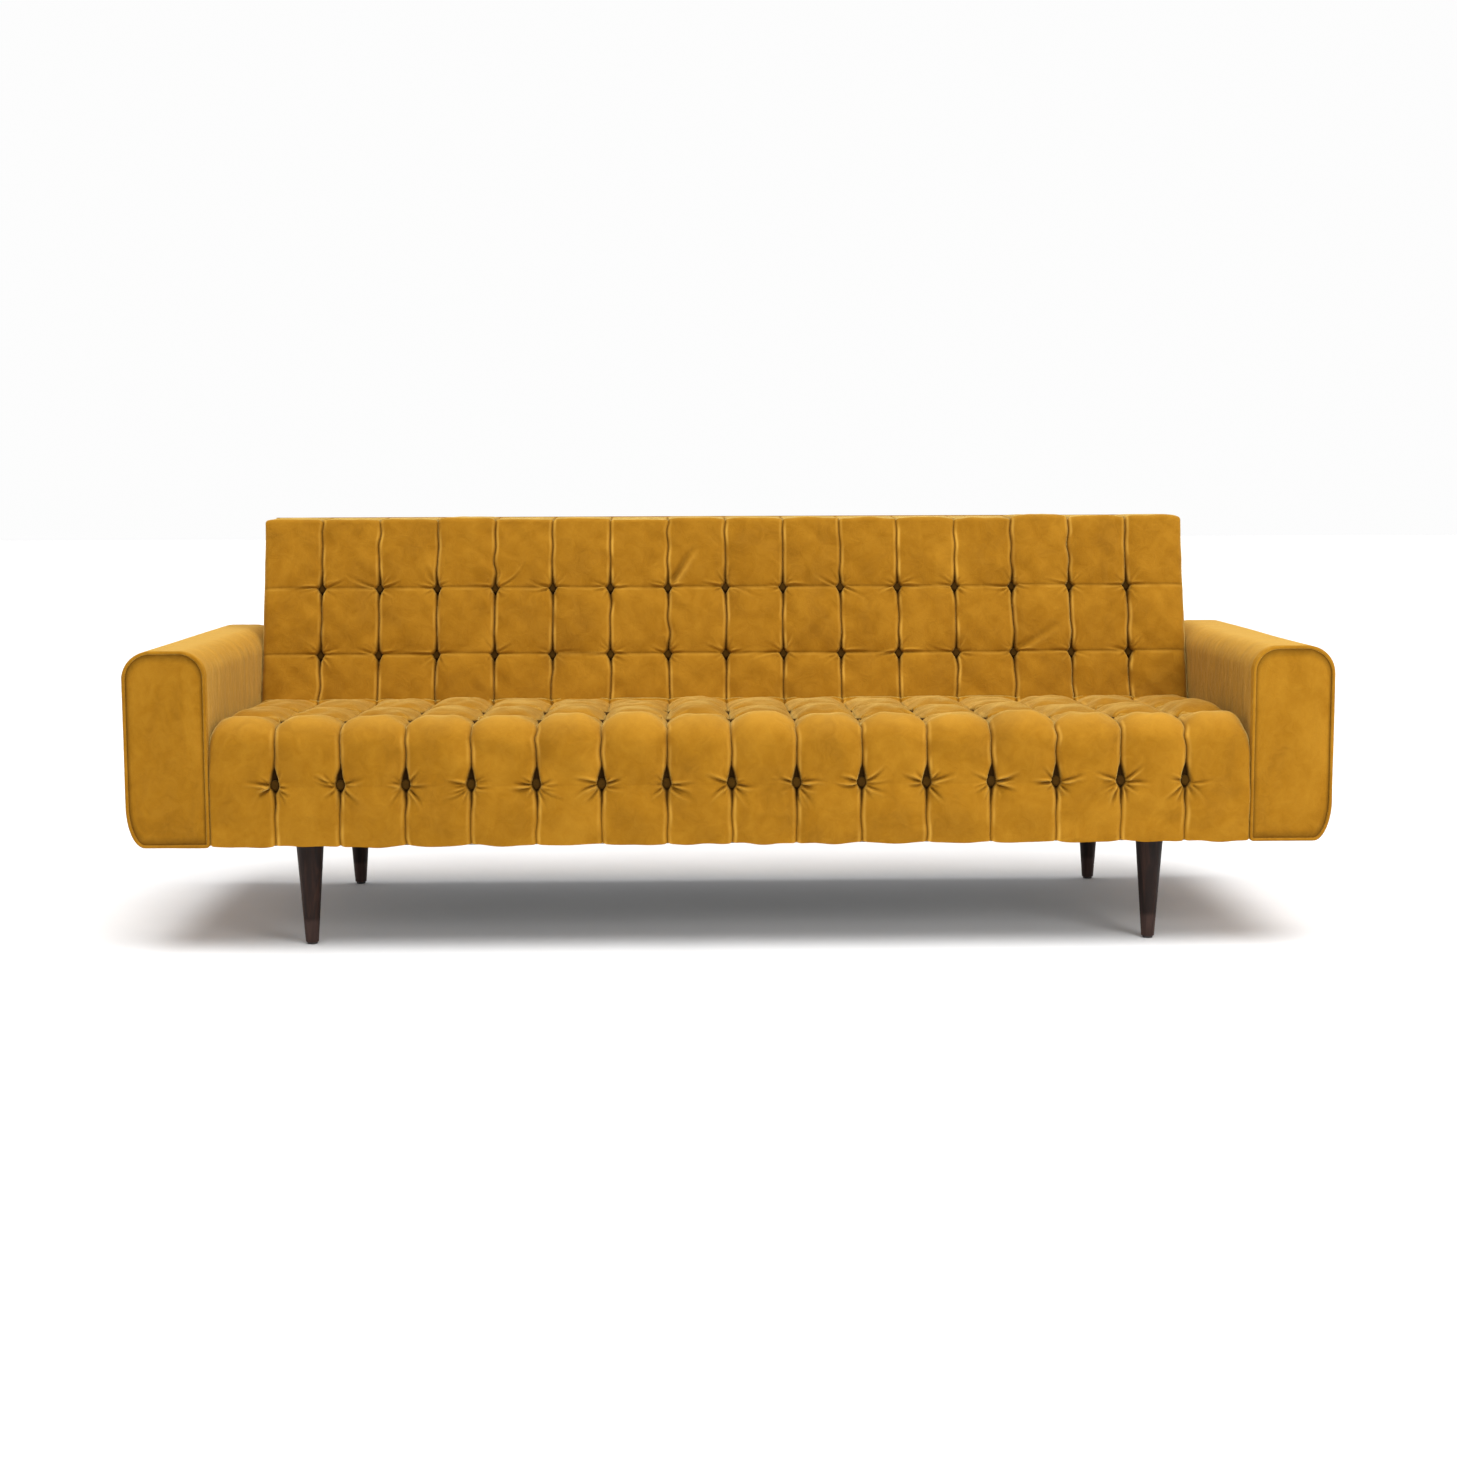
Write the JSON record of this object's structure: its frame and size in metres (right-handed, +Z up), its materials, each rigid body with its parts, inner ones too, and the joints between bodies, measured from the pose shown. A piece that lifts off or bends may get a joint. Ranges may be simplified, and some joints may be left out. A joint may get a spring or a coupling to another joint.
{
  "type": "tufted sofa with wooden legs",
  "caption": "Long velvet sofa with a biscuit-tufted seat and back, boxed arms and four turned tapering wooden legs.",
  "frame": {"origin": "on the floor, under the middle of the sofa's bounding box", "axes": "+X to the right as seen from the front, +Y from the front to the rear, +Z up"},
  "size_m": [2.3, 0.8, 0.816],
  "materials": {
    "velvet": "matte",
    "leg_wood": "satin",
    "frame_timber": "matte",
    "plywood": "matte",
    "hardboard": "matte",
    "foam": "matte",
    "wadding": "matte",
    "hessian": "matte",
    "webbing": "matte",
    "dust_cloth": "matte",
    "twine": "matte",
    "steel": "satin",
    "glide_plastic": "matte"
  },
  "bodies": {
    "root": {"arm_bolts": "steel", "arm_cover_left": "velvet", "arm_cover_right": "velvet", "arm_front_board_left": "plywood", "arm_front_board_right": "plywood", "arm_front_panel_left": "velvet", "arm_front_panel_right": "velvet", "arm_lower_rail_left": "frame_timber", "arm_lower_rail_right": "frame_timber", "arm_padding_left": "wadding", "arm_padding_right": "wadding", "arm_piping_left": "velvet", "arm_piping_right": "velvet", "arm_rear_board_left": "plywood", "arm_rear_board_right": "plywood", "arm_rear_panel_left": "velvet", "arm_rear_panel_right": "velvet", "arm_side_panels_left": "hardboard", "arm_side_panels_right": "hardboard", "arm_top_board_left": "plywood", "arm_top_board_right": "plywood", "back_bolts": "steel", "back_buttons": "velvet", "back_cover": "velvet", "back_foam": "foam", "back_hessian": "hessian", "back_inner_posts": "frame_timber", "back_lower_rail": "frame_timber", "back_post_left": "frame_timber", "back_post_right": "frame_timber", "back_top_rail": "frame_timber", "back_webbing": "webbing", "dust_cover": "dust_cloth", "frame_dowels": "frame_timber", "front_rail": "frame_timber", "hanger_bolts": "steel", "leg_blocks": "frame_timber", "leg_front_left": "leg_wood", "leg_front_right": "leg_wood", "leg_glides": "glide_plastic", "leg_rear_left": "leg_wood", "leg_rear_right": "leg_wood", "outside_back_cover": "velvet", "outside_back_panel": "hardboard", "rear_rail": "frame_timber", "seat_cover": "velvet", "seat_foam": "foam", "seat_front_buttons": "velvet", "seat_hessian": "hessian", "seat_springs": "steel", "seat_stretchers": "frame_timber", "seat_top_buttons": "velvet", "side_rail_left": "frame_timber", "side_rail_right": "frame_timber", "spring_clips": "steel", "spring_rail": "frame_timber", "spring_tie_wires": "steel", "tee_nuts": "steel", "tufting_twines": "twine"}
  },
  "joints": []
}
